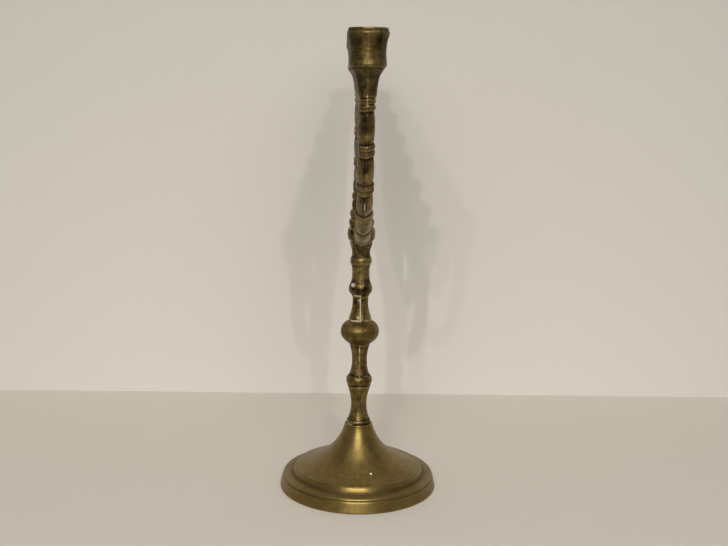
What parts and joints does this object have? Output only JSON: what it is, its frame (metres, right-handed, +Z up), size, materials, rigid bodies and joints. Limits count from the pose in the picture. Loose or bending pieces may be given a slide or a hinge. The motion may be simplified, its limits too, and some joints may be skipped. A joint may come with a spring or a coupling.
{
  "type": "branched candelabrum",
  "caption": "Free-standing brass candelabrum with nested U-shaped arms beside a central column, a candle cup on each tip and a round turned foot.",
  "frame": {"origin": "centre of the foot's resting face, at table level, on the axis of the column", "axes": "+Z up along the column, +X along the plane of the arms, +Y square to that plane"},
  "size_m": [0.3304, 0.1408, 0.4],
  "materials": {
    "foot_brass": "satin aged brass, golden olive, fine scratches",
    "stem_brass": "aged cast brass, olive brown, dark grooves with pale dried polish",
    "arm_brass": "aged cast brass, brown, pitted, with parting seams",
    "cup_brass": "aged turned brass, dark olive brown with tarnish blotches",
    "fastener_steel": "dull zinc-plated steel"
  },
  "bodies": {
    "root": {"foot": "foot_brass", "foot_washer": "fastener_steel", "foot_nut": "fastener_steel", "tie_rod": "fastener_steel", "lower_stem": "stem_brass", "knop": "stem_brass", "upper_stem": "stem_brass", "spindle": "stem_brass", "outer_hub": "stem_brass", "middle_hub": "stem_brass", "inner_hub": "stem_brass", "column_lower": "stem_brass", "column_middle": "stem_brass", "column_upper": "stem_brass", "arm_outer_left": "arm_brass", "arm_outer_right": "arm_brass", "arm_middle_left": "arm_brass", "arm_middle_right": "arm_brass", "arm_inner_left": "arm_brass", "arm_inner_right": "arm_brass", "cup_centre": "cup_brass", "cup_outer_left": "cup_brass", "cup_outer_right": "cup_brass", "cup_middle_left": "cup_brass", "cup_middle_right": "cup_brass", "cup_inner_left": "cup_brass", "cup_inner_right": "cup_brass"}
  },
  "joints": []
}
